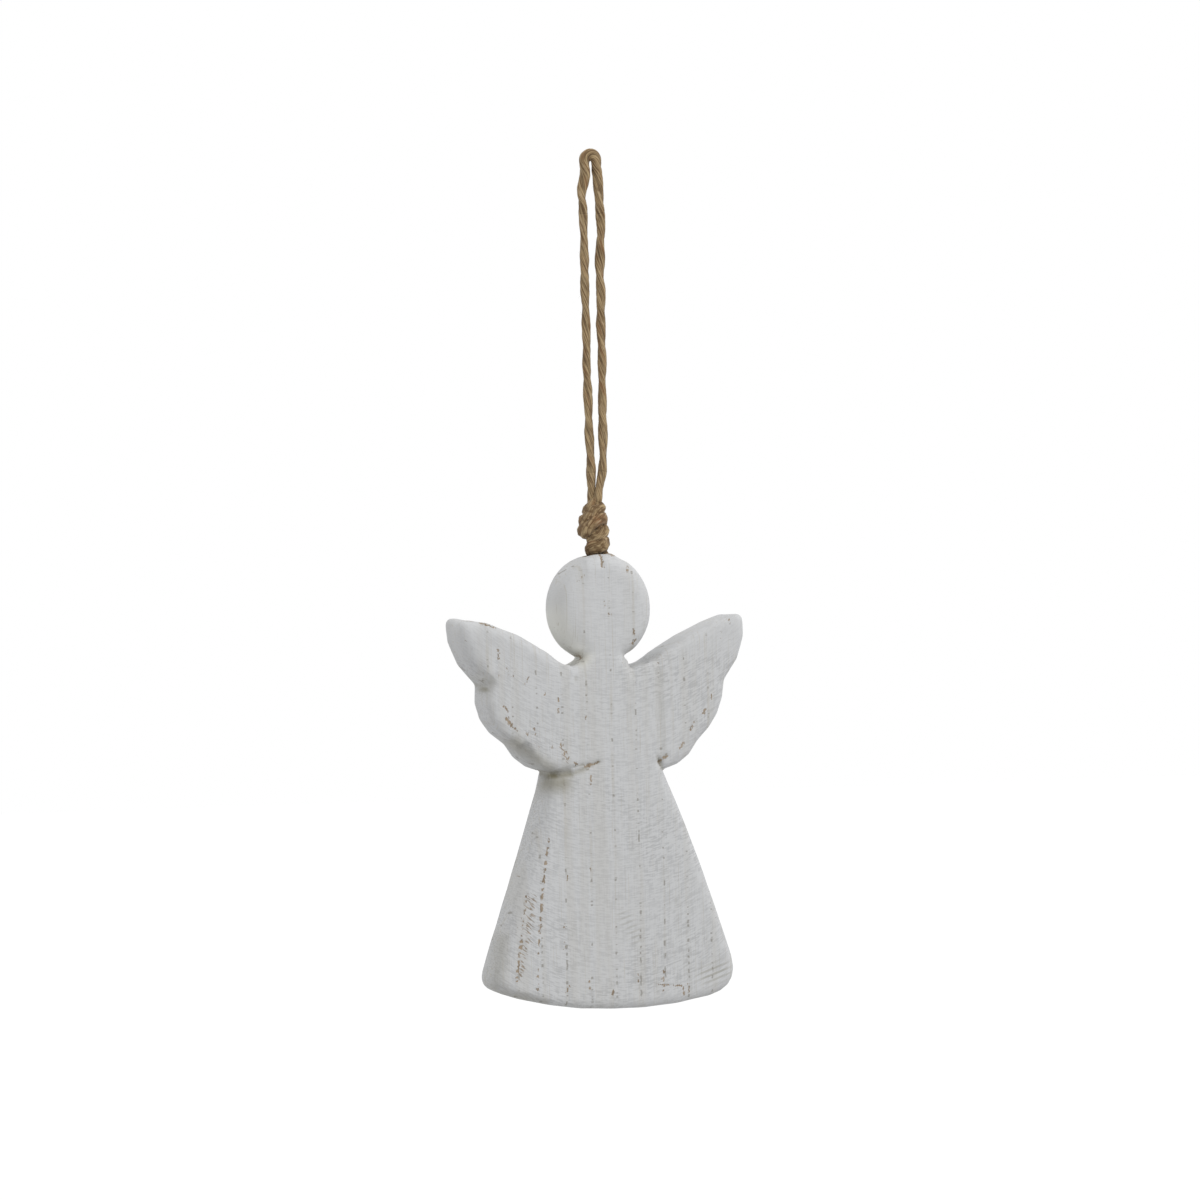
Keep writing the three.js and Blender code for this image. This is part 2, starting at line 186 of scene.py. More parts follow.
def worn_painted_pine(wood):
    """White chalk paint brushed on sawn pine and rubbed back.

    The eye sees a matt, neutral white with a linen-like tooth, because saw marks run across in shallow arcs
    and brush marks run along. The grain comes through as broken rows of bare specks, and the paint is gone
    in flecks on the arrises and in the nicks.
    """
    material, tree = new_material("worn white paint on pine")
    node = partial(add_node, tree)
    place = node("TexCoord").outputs["Object"]
    x, y, z = node("SeparateXYZ", None, place).outputs
    worn, scratched, scarred, soiled_and_shaded, fresh = (
        node("Attribute", {"attribute_name": name}).outputs["Fac"] for name in BOARD_MARKS
    )

    # Tooth of the paint. A fine blade's marks are closer than these, which are as coarse as has to show
    risen = node("Math", TIMES_PLUS, node("Math", TIMES, x, x), -SAW_BOW, z)
    bowed = node("CombineXYZ", None, x, y, risen)
    arcs = node("Mapping", BY_SIZE, bowed, Scale=mm(1.6, 1.6, 0.34))
    sawn = node("TexNoise", None, arcs, 1.0)
    bristles = node("Mapping", BY_SIZE, place, Scale=mm(0.4, 0.4, 5))
    brushed = node("TexNoise", None, bristles, 1.0)
    tooth = node("Math", TIMES_PLUS, sawn, 0.68, node("Math", TIMES, brushed, 0.32))
    patches = node("Mapping", BY_SIZE, place, Location=mm(300, 0, 0), Scale=mm(18, 18, 14))
    patches = node("TexNoise", None, patches, 1.0)
    patches = node("MapRange", SOFT_STEP, patches, 0.38, 0.62, 0.55, 1.0)
    coarse = node("MapRange", SOFT_STEP, z, NECK_LOW * MM, NECK_HIGH * MM, 1.0, 0.4)
    in_tooth = node("MapRange", SOFT_STEP, tooth, 0.37, 0.58, 1.0, 0.0)
    in_tooth = node("Math", TIMES, in_tooth, node("Math", TIMES, patches, coarse))

    # Grain lines: planes that lean through the board and waver along it
    waves = node("Mapping", BY_SIZE, place, Scale=mm(30, 30, 70))
    waves = node("TexNoise", None, waves, 1.0)
    crumbs = node("Mapping", BY_SIZE, place, Location=mm(0, 0, 500), Scale=mm(0.7, 0.7, 1.3))
    crumbs = node("TexNoise", None, crumbs, 1.0)
    rings = node("Math", TIMES_PLUS, y, 0.25, x)
    rings = node("Math", TIMES_PLUS, rings, 1 / wood.ring_spacing, 0.11)
    rings = node("Math", TIMES_PLUS, waves, 0.35, rings)
    which = node("Math", {"operation": "ROUND"}, rings)
    rings = node("Math", TIMES_PLUS, crumbs, 0.12, rings)
    off_line = node("Math", {"operation": "PINGPONG"}, rings, 0.5)
    row = node(
        "CombineXYZ", None, node("Math", TIMES, which, 7.3),
        node("Math", TIMES, y, 1 / (8 * MM)), node("Math", TIMES, z, 1 / (1.2 * MM)),
    )
    near_hem = node("MapRange", SOFT_STEP, z, -205 * MM, -170 * MM, 0.07, 0.0)
    spots = node("TexNoise", None, row, 1.0, 3.0)
    spots = node("Math", {"operation": "ADD"}, spots, near_hem)
    specks = node(
        "Math", TIMES, node("MapRange", SOFT_STEP, spots, 0.57, 0.64, 0.0, 0.7),
        node("MapRange", SOFT_STEP, off_line, 0.02, 0.05, 1.0, 0.0),
    )
    stretches = node("Mapping", BY_SIZE, place, Location=mm(0, 700, 0), Scale=mm(8, 8, 26))
    stretches = node("TexNoise", None, stretches, 1.0)
    line = node(
        "Math", TIMES, node("MapRange", SOFT_STEP, off_line, 0.01, 0.1, 1.0, 0.0),
        node("MapRange", SOFT_STEP, stretches, 0.44, 0.68, 0.0, 0.4),
    )

    # Hair-thin grain between the lines, and broad bands of thin paint along the board
    hairs = node("Mapping", BY_SIZE, place, Location=mm(0, 0, 250), Scale=mm(0.22, 3, 20))
    hairs = node("TexNoise", None, hairs, 1.0, 1.0)
    hairs = node("MapRange", SOFT_STEP, hairs, 0.6, 0.74, 0.0, 0.5)
    bands = node("Mapping", BY_SIZE, place, Location=mm(90, 0, 0), Scale=mm(2.6, 30, 120))
    bands = node("TexNoise", None, bands, 1.0)
    bands = node("MapRange", SOFT_STEP, bands, 0.46, 0.66, 0.0, 0.2)
    line = node("Math", LARGER, line, hairs)
    line = node("Math", LARGER, line, node("Math", TIMES, bands, coarse))

    # Wear: flecks where the surface was rubbed, slanted scratches, and scars of the saw
    flakes = node("Mapping", BY_SIZE, place, Location=mm(0, 0, 900), Scale=mm(0.36, 0.36, 0.8))
    flakes = node("TexNoise", None, flakes, 1.0, 3.0)
    flecks = node("Math", TIMES_PLUS, worn, 0.62, flakes)
    flecks = node("MapRange", SOFT_STEP, flecks, 0.84, 0.94, 0.0, 0.9)
    slant = node("Mapping", BY_SIZE, place, Rotation=(0, SCRATCH_SLANT, 0), Scale=mm(0.34, 9, 2))
    slant = node("TexNoise", None, slant, 1.0, 1.0)
    strokes = node("Math", TIMES_PLUS, scratched, 0.33, slant)
    strokes = node("MapRange", SOFT_STEP, strokes, 0.81, 0.88, 0.0, 0.75)
    bare = node("Math", LARGER, flecks, strokes)
    level = node("Math", TIMES_PLUS, x, -0.36, z)
    level = node("Math", TIMES, level, 1 / (1.4 * MM))
    level = node("Math", {"operation": "PINGPONG"}, level, 0.5)
    kerfs = node("MapRange", SOFT_STEP, level, 0.1, 0.26, 0.45, 0.0)
    soiled_and_shaded = node("Math", LARGER, soiled_and_shaded, node("Math", TIMES, scarred, kerfs))

    # Colours, from the paint up to the bare wood
    stain = node("Mapping", BY_SIZE, place, Location=mm(400, 0, 0), Scale=mm(0.9, 0.9, 2.5))
    stain = node("TexNoise", None, stain, 1.0)
    stain = node("MapRange", SOFT_STEP, stain, 0.35, 0.65)
    colour = node("Mix", OF_COLOURS, in_tooth, wood.paint, wood.paint_low)
    # Painted light: the paler tone where the head and neck turn to the left
    colour = node("Mix", OF_COLOURS, fresh, colour, wood.fresh)
    colour = node("Mix", OF_COLOURS, line, colour, wood.grain)
    # Painted shade with some grime: the olive tone in the hollows, under the left wing and on sides turned
    # down and to the left
    colour = node("Mix", OF_COLOURS, soiled_and_shaded, colour, wood.soil)
    colour = node("Mix", OF_COLOURS, specks, colour, wood.speck)
    raw = node("Mix", OF_COLOURS, stain, wood.raw_dark, wood.raw_light)
    colour = node("Mix", OF_COLOURS, bare, colour, raw)
    height = node("Math", TIMES_PLUS, bare, -0.6, tooth)
    bump = node("Bump", None, Height=height, Strength=0.55, Distance=0.16 * MM)
    roughness = node("MapRange", None, bare, 0.0, 1.0, 0.66, 0.88)
    shader = node("BsdfPrincipled", None, colour, Roughness=roughness, IOR=1.46, Normal=bump)
    node("OutputMaterial", None, shader)
    return material


def natural_jute(twine):
    """Soft jute roving laid two-ply.

    The eye sees long dull fibres along each ply, dark between the plies, pale and rusty in places.
    """
    material, tree = new_material("natural jute twine")
    node = partial(add_node, tree)
    place = node("TexCoord").outputs["Object"]
    lay = node("UVMap", {"uv_map": "lay"})
    groove, tight, rust = (
        node("Attribute", {"attribute_name": name}).outputs["Fac"] for name in TWINE_MARKS
    )

    # Bundles of fibre. Single fibres are too fine to show, so these are as coarse as they need to be
    fibres = node("Mapping", BY_SIZE, lay, Scale=mm(0.3, 5, 1))
    fibres = node("TexNoise", None, fibres, 1.0, 3.0)
    rusty = node("Mapping", BY_SIZE, lay, Location=mm(60, 0, 0), Scale=mm(1.4, 7, 1))
    rusty = node("TexNoise", None, rusty, 1.0)
    rusty = node("MapRange", SOFT_STEP, rusty, 0.52, 0.72, 0.0, 0.6)
    rusty = node("Math", LARGER, rusty, rust)
    bleached = node("Mapping", BY_SIZE, lay, Location=mm(130, 0, 0), Scale=mm(0.5, 3.5, 1))
    bleached = node("TexNoise", None, bleached, 1.0)
    bleached = node("MapRange", SOFT_STEP, bleached, 0.55, 0.72, 0.0, 0.7)
    # Blots toward the shaded and soiled tone, strongest in the knot where the twine is pulled tight:
    # painted shade and grime
    soiled_and_shaded = node("Mapping", BY_SIZE, place, Scale=mm(1.3, 1.3, 1.0))
    soiled_and_shaded = node("TexNoise", None, soiled_and_shaded, 1.0)
    soiled_and_shaded = node("MapRange", SOFT_STEP, soiled_and_shaded, 0.44, 0.66)
    soiled_and_shaded = node("Math", TIMES, soiled_and_shaded, node("Math", TIMES_PLUS, tight, 0.8, 0.15))
    # Painted shade between the plies
    between = node("MapRange", SOFT_STEP, groove, 0.1, 1.0, 0.0, 0.38)

    dark = node("MapRange", SOFT_STEP, fibres, 0.38, 0.62)
    colour = node("Mix", OF_COLOURS, dark, twine.fibre_dark, twine.fibre)
    colour = node("Mix", OF_COLOURS, rusty, colour, twine.rust)
    colour = node("Mix", OF_COLOURS, bleached, colour, twine.fibre_pale)
    colour = node("Mix", OF_COLOURS, soiled_and_shaded, colour, twine.fibre_dark)
    colour = node("Mix", OF_COLOURS, between, colour, twine.shade)
    bump = node("Bump", None, Height=fibres, Strength=0.7, Distance=0.12 * MM)
    shader = node(
        "BsdfPrincipled", None, colour, Roughness=0.93, IOR=1.5, Normal=bump, Sheen_Weight=0.12
    )
    node("OutputMaterial", None, shader)
    return material


def set_wood_glue():
    """Wood glue that has set in the hole: honey coloured, cloudy and a little glossy."""
    material, tree = new_material("set wood glue")
    node = partial(add_node, tree)
    place = node("TexCoord").outputs["Object"]
    clouds = node("Mapping", BY_SIZE, place, Scale=mm(1.5, 1.5, 1.5))
    cloudy = node("TexNoise", None, clouds, 1.0, 3.0)
    tone = node("Mix", OF_COLOURS, cloudy, linear("C9B078"), linear("E2D2A6"))
    bump = node("Bump", None, Height=cloudy, Strength=0.3, Distance=0.1 * MM)
    shader = node("BsdfPrincipled", None, tone, Roughness=0.35, IOR=1.5, Normal=bump)
    node("OutputMaterial", None, shader)
    return material


def placed(name, mesh):
    made = bpy.data.objects.new(name, mesh)
    bpy.context.scene.collection.objects.link(made)
    return made


def finished(name, shape):
    """A smooth-shaded object from a shape, which is freed."""
    mesh = bpy.data.meshes.new(name)
    shape.to_mesh(mesh)
    shape.free()
    mesh.shade_smooth()
    return placed(name, mesh)


def chosen(skin, mask):
    return [v for v, picked in zip(skin.verts, mask) if picked]


def soften(skin, verts, passes):
    for _ in range(passes):
        bmesh.ops.smooth_vert(
            skin, verts=verts, factor=0.5, use_axis_x=True, use_axis_y=True, use_axis_z=True
        )


# Marks on the front: from x, z to x, z in millimetres, half width, strength, and spacing of any dashes
FRONT_WEAR = [
    # Head
    (5.2, -100.2, 5.2, -101.9, 0.5, 0.75), (-1.0, -108.8, -0.7, -109.7, 0.5, 0.75),
    (0.2, -111.2, 0.5, -112.2, 0.45, 0.7), (6.2, -115.4, 6.4, -117.1, 0.45, 0.7),
    (6.9, -117.9, 6.1, -119.1, 0.5, 0.8), (-8.5, -121.3, -7.6, -121.8, 0.7, 1.0),
    (-1.0, -97.1, -1.1, -100.1, 0.45, 1.0), (-0.8, -100.6, -0.9, -107.5, 0.4, 0.5, 1.6),
    # Left wing
    (-36.2, -112.2, -32.7, -112.7, 0.5, 0.6), (-31.2, -113.2, -27.9, -114.4, 0.5, 0.75),
    (-27.3, -119.4, -27.3, -121.8, 0.6, 0.75), (-27.4, -123.5, -27.4, -126.6, 0.5, 0.65, 1.8),
    (-33.2, -129.3, -30.8, -129.3, 0.45, 0.8), (-25.4, -124.0, -24.7, -126.4, 0.4, 0.6),
    (-23.1, -124.3, -23.9, -126.6, 0.4, 0.6), (-21.0, -128.2, -19.9, -126.0, 0.45, 0.62),
    (-16.1, -130.2, -16.1, -131.0, 0.45, 0.7), (-12.8, -131.5, -12.8, -132.5, 0.45, 0.8),
    (-12.8, -134.2, -12.8, -135.2, 0.45, 0.8), (-26.1, -133.4, -25.4, -134.4, 0.6, 0.8),
    (-25.4, -136.3, -24.7, -137.8, 0.9, 0.85), (-24.2, -138.3, -23.0, -139.3, 0.5, 0.7),
    (-20.8, -139.5, -20.5, -140.5, 0.5, 0.7), (-18.9, -138.9, -17.3, -144.0, 0.6, 0.62, 1.4),
    (-14.6, -141.6, -14.4, -144.1, 0.5, 0.6, 1.4), (-12.2, -143.1, -10.6, -147.1, 0.8, 0.78, 1.5),
    (-9.1, -147.5, -8.3, -148.0, 0.6, 0.75), (-6.2, -148.6, -3.1, -147.4, 0.4, 0.85),
    (-6.2, -148.5, -5.2, -148.0, 0.7, 0.85), (-5.1, -150.7, -5.2, -152.7, 0.45, 0.85),
    (-6.1, -136.2, -6.1, -136.9, 0.4, 0.7),
    # Right wing
    (30.3, -113.5, 30.8, -114.2, 0.6, 0.6), (28.0, -116.6, 27.8, -121.9, 0.4, 0.62, 1.5),
    (25.4, -131.8, 25.4, -133.0, 0.5, 0.7), (23.8, -135.2, 23.3, -136.3, 0.6, 0.75),
    (21.0, -138.4, 19.9, -140.1, 0.7, 0.7), (18.1, -143.3, 17.3, -144.7, 0.6, 0.7),
    (12.0, -147.9, 13.8, -146.4, 0.6, 0.85),
    # Skirt
    (-21.6, -179.2, -23.2, -189.9, 0.45, 0.75, 1.3), (-23.2, -189.9, -24.6, -200.0, 0.55, 1.0, 1.2),
    (-15.9, -165.6, -17.0, -172.8, 0.42, 0.9, 2.4), (-17.0, -172.8, -17.8, -179.3, 0.45, 1.0, 2.1),
    (-17.8, -179.3, -18.5, -187.5, 0.52, 1.0, 2.3), (-18.5, -187.5, -19.1, -193.8, 0.45, 0.8, 2.4),
    (-19.2, -196.9, -19.4, -201.8, 0.5, 0.8, 1.5), (-19.2, -160.6, -19.7, -162.1, 0.45, 0.8),
    (-25.4, -182.7, -26.5, -184.9, 0.5, 0.7), (-22.7, -173.6, -22.5, -174.6, 0.4, 0.7),
    (-0.7, -202.7, -0.8, -203.8, 0.5, 0.85), (11.9, -198.5, 11.8, -204.5, 0.6, 0.8, 1.6),
    (5.6, -199.1, 5.6, -201.6, 0.5, 0.7, 1.2), (18.1, -201.8, 18.3, -203.9, 0.5, 0.75),
    (-11.5, -201.2, -12.3, -202.8, 0.5, 0.7), (-6.5, -200.1, -6.5, -202.9, 0.5, 0.7, 1.4),
    (-11.5, -174.6, -11.5, -175.6, 0.5, 0.75), (-12.4, -186.2, -12.5, -187.9, 0.45, 0.65),
    (-12.5, -190.3, -12.6, -193.9, 0.45, 0.65, 1.3), (-5.8, -172.5, -5.8, -173.7, 0.4, 0.7),
    (10.3, -201.7, 16.6, -202.3, 0.35, 0.8), (16.6, -202.3, 17.0, -204.4, 0.4, 0.85),
]
# The bare spot in the notch goes through the board's thickness, from y to y in front
NECK_WEAR = [(-7.4, -121.7, -5.9, -122.2, 0.8, 0.95)]
NECK_WEAR_Y = (-8.0, -5.0)
SCRATCHES = [
    (-20.6, -179.5, -21.6, -190.0, 1.6, 1.0), (-22.3, -190.0, -23.5, -199.0, 1.2, 0.9),
    (-12.2, -143.1, -10.6, -147.0, 1.2, 0.8), (-18.9, -138.9, -17.3, -144.0, 1.0, 0.6),
    (-37.5, -115.7, -35.5, -117.2, 1.0, 0.5), (-19.6, -123.4, -18.6, -121.5, 1.1, 0.6),
]
SCARS = [(22.8, -199.9, 26.4, -199.0, 2.4, 1.0), (2.5, -184.8, 5.5, -190.3, 1.8, 0.6)]
# Painted shade, with a little grime: the dark line and shadow under the left wing's lower edge, the lower
# lobe's side, the wing's upper notch, the neck's notches, the hem's left bevel, the skirt's left side and
# the head's left edge. From x, z to x, z in millimetres, half width and strength
GRIME_AND_SHADE = [
    (-17.8, -150.6, -13.5, -150.5, 1.2, 1.0), (-13.5, -150.5, -10.0, -150.2, 0.9, 0.75),
    (-10.0, -150.2, -6.2, -148.9, 0.6, 0.5), (-17.0, -152.2, -12.5, -152.0, 2.6, 0.7),
    (-28.5, -202.6, -18.0, -205.0, 1.4, 0.3), (-8.6, -120.9, -6.0, -122.3, 1.0, 0.35),
    (6.5, -120.4, 8.5, -120.9, 1.0, 0.4), (-23.5, -142.2, -15.0, -148.6, 1.7, 0.45),
    (-33.6, -129.2, -30.2, -129.2, 0.8, 0.8), (-30.6, -128.6, -28.9, -127.4, 1.6, 0.25),
    (12.9, -126.0, 13.2, -147.0, 0.6, 0.18), (-27.5, -189.3, -29.5, -202.2, 1.4, 0.3),
    (-13.0, -106.0, -12.6, -113.0, 1.6, 0.14),
]
# Painted light: a paler tone on the left sides of the head and neck, in place of light that reaches them
PAINTED_LIGHT = [(-13.4, -112.5, -9.5, -119.5, 3.2, 0.95), (-9.5, -119.5, -6.0, -122.5, 3.0, 1.0)]
# Knife cuts into the front: from x, z to x, z in millimetres, half width and depth
CUTS = [
    (-1.0, -96.7, -1.1, -100.1, 0.4, 0.8), (-17.8, -150.1, -13.0, -150.1, 0.8, 1.8),
    (-13.0, -150.1, -10.0, -149.8, 0.7, 1.2), (-10.0, -149.8, -6.2, -148.8, 0.5, 0.6),
    (-6.2, -148.7, -3.1, -147.4, 0.5, 0.5), (12.0, -147.9, 13.8, -146.4, 0.6, 0.5),
]
# Creases that paint filled again: the straight nick under the left wing, and where the wings meet the neck
FILLED = [
    (-12.0, -149.0, -7.0, -148.3, 1.6, 1.0), (-10.8, -124.2, -8.8, -126.2, 1.8, 1.0),
    (9.3, -123.6, 7.6, -125.8, 1.8, 1.0),
]
# y that the paint fills them to, and y behind which they stay
FILLED_TO, FILLED_BACK = -8.8, -4.0
# The lower lobe's front edge, which was left as sawn: from x, z to x, z, with the lobe on the right
LOBE_EDGE = (-20.0, -142.2, -16.5, -149.5)
LOBE_SLOPE, LOBE_WIDE = 1.5, 3.0
# Left edges that are rounded more, of the wing's tip and the head: right x, low and high z, and passes
ROUNDED = [(-30.0, -127.0, -105.0, 160), (-5.0, -120.0, -95.0, 150)]
ROUNDED_WIDE, ROUNDED_BACK = 12.0, 4.0
# The dish above the left wing's upper notch: middle, half width and height, depth, rim, and fade in z
DISH_X, DISH_Z, DISH_WIDE, DISH_TALL, DISH_DEPTH, DISH_RIM = -32.2, -127.8, 3.9, 3.4, 2.3, 0.4
DISH_TOP, DISH_FULL = -123.4, -129.2
# Upper edge of the bevel along the left of the hem: x and z
HEM_BEVEL = [
    (-33.0, -199.0), (-29.4, -200.3), (-24.3, -202.0), (-20.2, -203.3), (-16.1, -204.8), (-12.0, -206.1),
]
HEM_DEEP, HEM_FADE = 4.0, 4.0
# Corners at the neck as sanding and paint left them: x, z, reach, move in x and z, and y where it begins
NECK_EASE = [
    (-9.2, -125.2, 1.7, -0.3, 1.4, -20.0), (-6.5, -121.5, 1.8, 1.2, -0.6, -5.0),
    (7.7, -125.5, 2.2, -1.7, 0.8, -20.0), (4.1, -122.0, 1.8, -0.7, 0.0, -20.0),
]
EASE_FADE = 6.0
# Where the wings meet the neck: x and z of the notches, which are sanded smooth, and how far round them
NOTCHES = [(-11.5, -123.5), (10.5, -123.0), (-6.5, -121.5), (5.5, -121.0)]
NOTCH_ROUND = 4.5
# y where the marks on the front end, and where they are full
FRONT_END, FRONT_FULL = 7.0, -3.0
# Depth of a full valley, and heights where the knife's valleys begin and are full
VALLEY_FULL = 0.22
CARVED_TOP, CARVED_FULL = -123.0, -126.0
# The drilled hole: x, radius, top and bottom, then the radius, half width and low end of its torn rim
HOLE_X, HOLE_RADIUS, HOLE_TOP, HOLE_BOTTOM = -0.5, 2.9, -97.4, -112.0
TORN_RADIUS, TORN_WIDE, TORN_LOW = 3.1, 0.8, -100.0
# A burr on the head right of the knot, and a chip beyond it: x, half width, and height or depth
BURR_X, BURR_WIDE, BURR_HIGH, BURR_Y, BURR_LONG = 2.4, 1.1, 0.7, -2.0, 4.0
CHIP_X, CHIP_WIDE, CHIP_DEEP = 5.2, 1.6, 0.6
HEAD_TOP, HEAD_TOP_TALL = -97.0, 1.2
# The burr's bare wood: x, z, half width and height, strength, and y where it ends
BARE_X, BARE_Z, BARE_WIDE, BARE_TALL, BARE_SHARE, BARE_END = 2.3, -96.8, 1.4, 1.1, 1.2, 3.0


class ORNAMENT_OT_wooden_angel(bpy.types.Operator):
    """Carves the board's skin: sanded slabs, knife cuts, and where the paint has worn off"""

    bl_idname = "ornament.wooden_angel"
    bl_label = "Wooden angel"

    def execute(self, context):
        wood = context.scene.ornament_wood
        skin = self.sawn_board(wood)
        self.sand(skin, wood)
        self.wear(skin)
        angel = finished("carved_angel", skin)
        angel.data.materials.append(worn_painted_pine(wood))
        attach(angel, "figure")
        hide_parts("angel_body")
        return {"FINISHED"}

    def sawn_board(self, wood):
        """The CAD board with an even skin fine enough to carve."""
        skin = bmesh.new()
        skin.from_mesh(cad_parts["angel_body"].data)
        bmesh.ops.remove_doubles(skin, verts=skin.verts, dist=0.001 * MM)
        mesh = bpy.data.meshes.new("board")
        skin.to_mesh(mesh)
        board = placed("board", mesh)
        remesh = board.modifiers.new("even skin", "REMESH")
        remesh.mode, remesh.voxel_size = "VOXEL", wood.skin
        even = bpy.data.meshes.new_from_object(board.evaluated_get(bpy.context.evaluated_depsgraph_get()))
        bpy.data.objects.remove(board)
        skin.clear()
        skin.from_mesh(even)
        return skin

    def hollows(self, skin):
        """How deep each point lies in a valley, from 0 to 1, from a copy that is softened much more."""
        soft = skin.copy()
        soften(soft, soft.verts, 14)
        skin.normal_update()
        depth = [(s.co - v.co).dot(v.normal) / MM for s, v in zip(soft.verts, skin.verts)]
        soft.free()
        return ramp(np.array(depth), 0, VALLEY_FULL)

    def sand(self, skin, wood):
        """Sanding takes the edges off, smooths the notches by the neck, and leaves the valleys crisp."""
        soften(skin, skin.verts, 1)
        self.ease(skin)
        soften(skin, chosen(skin, self.hollows(skin) < 0.25), 2)
        at, front = self.places(skin)
        x, y, z = at.T
        to_notch = np.min([np.hypot(x - notch[0], z - notch[1]) for notch in NOTCHES], axis=0)
        facing = np.abs([v.normal.y for v in skin.verts]) > 0.6
        soften(skin, chosen(skin, facing & (to_notch < NOTCH_ROUND)), 10)
        for right, low, high, passes in ROUNDED:
            inside = (x < right) & (x > right - ROUNDED_WIDE) & (y < ROUNDED_BACK) & (z > low) & (z < high)
            soften(skin, chosen(skin, inside), passes)
        hollow = self.hollows(skin)
        edged = (1 - hollow) * ramp(to_notch / NOTCH_ROUND, 0.6, 1.6)
        carved = hollow * ramp(z, CARVED_TOP, CARVED_FULL)
        filled = self.drawn(at, FILLED) * front * (y < FILLED_BACK)
        for v, share in zip(skin.verts, filled):
            v.co.y = min(v.co.y, v.co.y + share * (FILLED_TO * MM - v.co.y))
        soften(skin, chosen(skin, filled > 0.03), 14)
        cuts = front * (self.drawn(at, CUTS) + self.dish(at) + self.hem_bevel(at) + self.lobe_bevel(at))
        for i, v in enumerate(skin.verts):
            wave = noise.noise(v.co / (16 * MM)) + 0.45 * noise.noise(v.co / (5 * MM) + Vector((9, 4, 2)))
            corner = 2 * abs(v.normal.y) * math.sqrt(max(0, 1 - v.normal.y**2))
            raised = wood.unevenness * wave + wood.arris * corner * edged[i] - wood.valley * carved[i]
            v.co += v.normal * raised
            v.co.y += cuts[i] * MM
            v.co.z += self.chip(v.co / MM) * MM
        soften(skin, skin.verts, 1)

    def ease(self, skin):
        """Shifts the corners at the neck to where sanding and thick paint have them."""
        at = np.array([v.co for v in skin.verts]) / MM
        for x, z, reach, right, up, begin in NECK_EASE:
            near = bell((at[:, 0] - x) / reach, (at[:, 2] - z) / reach)
            near *= ramp(at[:, 1], begin, begin + EASE_FADE)
            at += near[:, None] * (right, 0, up)
        for v, moved in zip(skin.verts, at):
            v.co = moved * MM

    def dish(self, at):
        """How deep a round knife hollowed the front above the left wing's upper notch."""
        x, z = at[:, 0], at[:, 2]
        inward = 1 - np.hypot((x - DISH_X) / DISH_WIDE, (z - DISH_Z) / DISH_TALL)
        return DISH_DEPTH * ramp(inward, 0, DISH_RIM) * ramp(z, DISH_TOP, DISH_FULL)

    def hem_bevel(self, at):
        """How far the bevel along the left of the hem goes in, from its upper edge down."""
        x, z = at[:, 0], at[:, 2]
        upper = np.interp(x, *np.array(HEM_BEVEL).T)
        end = HEM_BEVEL[-1][0]
        return np.clip(upper - z, 0, HEM_DEEP) * ramp(x, end, end - HEM_FADE)

    def lobe_bevel(self, at):
        """How far the front falls away outside the lower lobe's sawn edge."""
        x0, z0, x1, z1 = LOBE_EDGE
        run = np.array((x1 - x0, z1 - z0))
        length = np.linalg.norm(run)
        flat = at[:, [0, 2]] - (x0, z0)
        along = flat @ run / length
        outside = flat @ (run[1], -run[0]) / length
        ends = ramp(along, -0.5, 0.5) * ramp(along, length + 4, length + 2)
        return LOBE_SLOPE * np.clip(outside, 0, LOBE_WIDE) * ends

    def chip(self, at):
        """How far the top of the head stands up in the burr, or is gone in the chip."""
        burr = BURR_HIGH * bell((at.x - BURR_X) / BURR_WIDE, (at.y - BURR_Y) / BURR_LONG)
        chip = CHIP_DEEP * bell((at.x - CHIP_X) / CHIP_WIDE)
        return (burr - chip) * bell((at.z - HEAD_TOP) / HEAD_TOP_TALL)

    def places(self, skin):
        """Where each point is in millimetres, and its share in the front's marks, which fade out behind."""
        skin.normal_update()
        at = np.array([v.co for v in skin.verts]) / MM
        return at, ramp(at[:, 1], FRONT_END, FRONT_FULL)

    def drawn(self, at, marks):
        """How strongly each point lies under marks on the front."""
        share = np.zeros(len(at))
        for x0, z0, x1, z1, half_width, strength, *dash in marks:
            run = np.array((x1 - x0, z1 - z0))
            flat = at[:, [0, 2]] - (x0, z0)
            along = ramp(flat @ run, 0, run @ run)
            away = np.linalg.norm(flat - along[:, None] * run, axis=1)
            mark = strength * bell(away / half_width)
            if dash:
                beat = 2 * math.pi * along * np.linalg.norm(run) / dash[0]
                mark *= np.clip(1 + np.sin(beat + 1.3 * np.sin(0.37 * beat)), 0, 1)
            share = np.maximum(share, mark)
        return share

    def wear(self, skin):
        """Writes how rubbed, scratched and scarred each point is, its grime and painted shade, and its
        painted light.
        """
        at, front = self.places(skin)
        x, y, z = at.T
        left, turned = -np.array([(v.normal.x, v.normal.y) for v in skin.verts]).T
        patches = np.array([noise.noise(p / 9 + (3, 7, 1)) for p in at])
        from_hole = np.hypot(x - HOLE_X, y)
        bare = bell((x - BARE_X) / BARE_WIDE, (z - BARE_Z) / BARE_TALL)
        rubbed = [
            front * self.drawn(at, FRONT_WEAR),
            self.drawn(at, NECK_WEAR) * ramp(y, *NECK_WEAR_Y),
            bell((np.abs(turned) - 0.9) / 0.07) * np.clip(patches * 1.3, 0, 0.42),
            bell((from_hole - TORN_RADIUS) / TORN_WIDE) * (z > TORN_LOW),
            bare * BARE_SHARE * (y < BARE_END),
            (from_hole < HOLE_RADIUS) & (z > HOLE_BOTTOM) & (z < HOLE_TOP),
        ]
